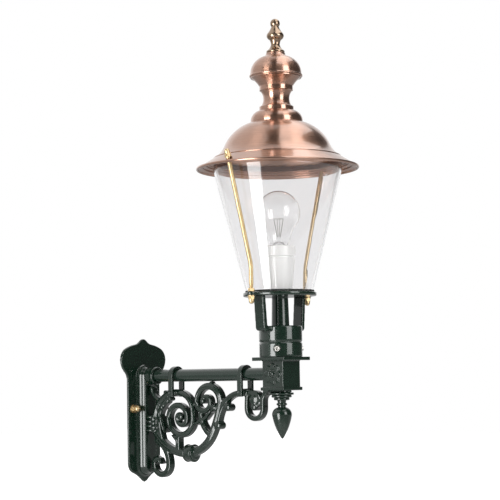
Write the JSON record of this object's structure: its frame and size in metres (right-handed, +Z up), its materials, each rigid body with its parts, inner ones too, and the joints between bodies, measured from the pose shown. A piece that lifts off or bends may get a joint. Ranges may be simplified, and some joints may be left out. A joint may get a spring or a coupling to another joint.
{
  "type": "outdoor wall light",
  "caption": "Wall lantern on a scrolled arm: ogee wall plate, tapered clear glass shade, spun copper hood with ventilator and finial, and a drop pendant below.",
  "frame": {"origin": "on the wall, midway between the two wall studs", "axes": "+X leaves the wall along the arm, +Z is up, Y runs along the wall"},
  "size_m": [0.3804, 0.2268, 0.6509],
  "materials": {
    "paint": "gloss dark green paint on cast metal",
    "copper": "brushed copper sheet",
    "brass": "polished brass",
    "glass": "clear glass",
    "bulb_glass": "thin clear glass",
    "porcelain": "white glaze",
    "gasket": "dark rubber",
    "nickel": "nickel plate",
    "insulator": "black insulator"
  },
  "bodies": {
    "root": {"wall_plate": "paint", "wall_washers": "brass", "wall_cap_nuts": "brass", "arm_tube": "paint", "scroll_bracket": "paint", "saddle_straps": "paint", "strap_pins": "paint", "lantern_block": "paint", "drop_pendant": "paint", "socket_yoke": "paint", "set_screws": "nickel", "column": "paint", "seat_flange": "paint", "seat_screws": "nickel", "tie_rods": "brass", "rod_nuts": "brass", "rod_washers": "brass", "rod_cap_nuts": "brass", "lower_gasket": "gasket", "glass_shade": "glass", "upper_gasket": "gasket", "hood": "copper", "vent_neck": "copper", "vent_cap": "copper", "finial": "brass", "finial_stud": "brass", "stud_nut": "brass", "nipple": "brass", "holder_body": "porcelain", "holder_ring": "porcelain", "holder_shell": "brass", "holder_contact": "brass", "bulb_envelope": "bulb_glass", "bulb_cap": "brass", "bulb_foot": "insulator", "bulb_contact": "nickel", "bulb_stem": "bulb_glass", "bulb_wires": "nickel", "bulb_filament": "nickel"}
  },
  "joints": []
}
